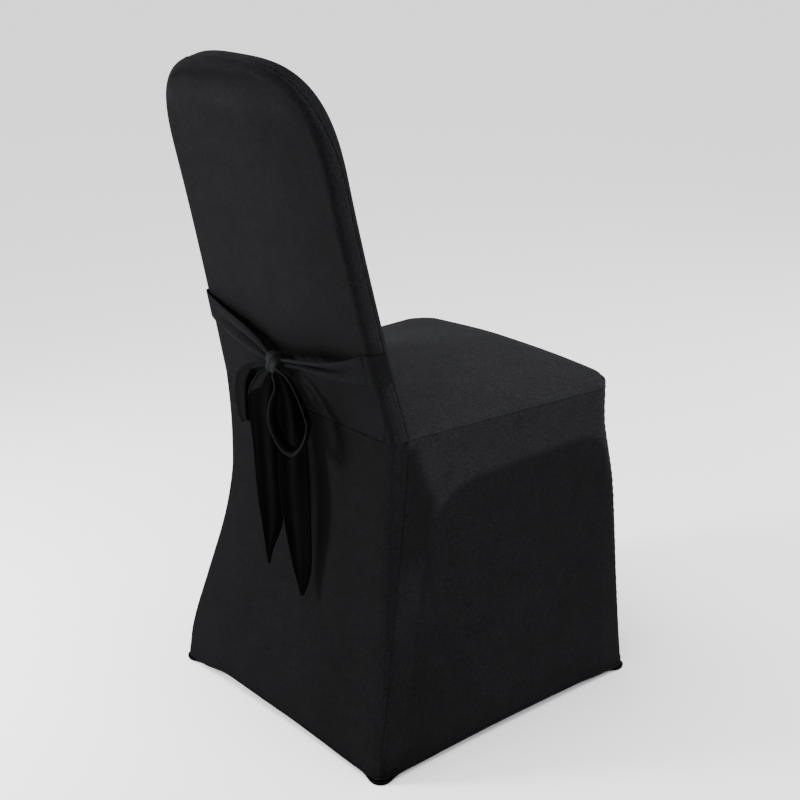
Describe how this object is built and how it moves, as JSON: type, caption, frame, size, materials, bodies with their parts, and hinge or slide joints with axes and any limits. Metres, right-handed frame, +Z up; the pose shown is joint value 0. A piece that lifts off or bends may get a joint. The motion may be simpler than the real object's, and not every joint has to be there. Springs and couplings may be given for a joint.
{
  "type": "chair cover",
  "caption": "Fitted stretch cloth cover for a round-topped banquet chair, with a floor-length skirt, foot pockets and sash ties knotted in a bow behind the back.",
  "frame": {"origin": "on the floor, under the middle of the cover's bounding box", "axes": "+Z up; +Y towards the back of the chair, where the bow is, and -Y towards the front of the seat; +X towards the left hand of someone who sits in the chair"},
  "size_m": [0.469, 0.5416, 0.9359],
  "materials": {
    "stretched_cloth": "tight-drawn black stretch knit, matt with a faint grey bloom",
    "tie_cloth": "the same black knit lying slack, which looks darker"
  },
  "bodies": {
    "root": {"outside_back": "stretched_cloth", "inside_back": "stretched_cloth", "seat_top": "stretched_cloth", "skirt_back": "stretched_cloth", "skirt_right": "stretched_cloth", "skirt_left": "stretched_cloth", "skirt_front": "stretched_cloth", "foot_pocket_rear_right": "tie_cloth", "foot_pocket_rear_left": "tie_cloth", "foot_pocket_front_right": "tie_cloth", "foot_pocket_front_left": "tie_cloth", "tie_right": "tie_cloth", "tie_left": "tie_cloth", "bow_knot": "tie_cloth", "bow_loop_left": "tie_cloth", "bow_loop_right": "tie_cloth", "bow_tail_left": "tie_cloth", "bow_tail_right": "tie_cloth"}
  },
  "joints": []
}
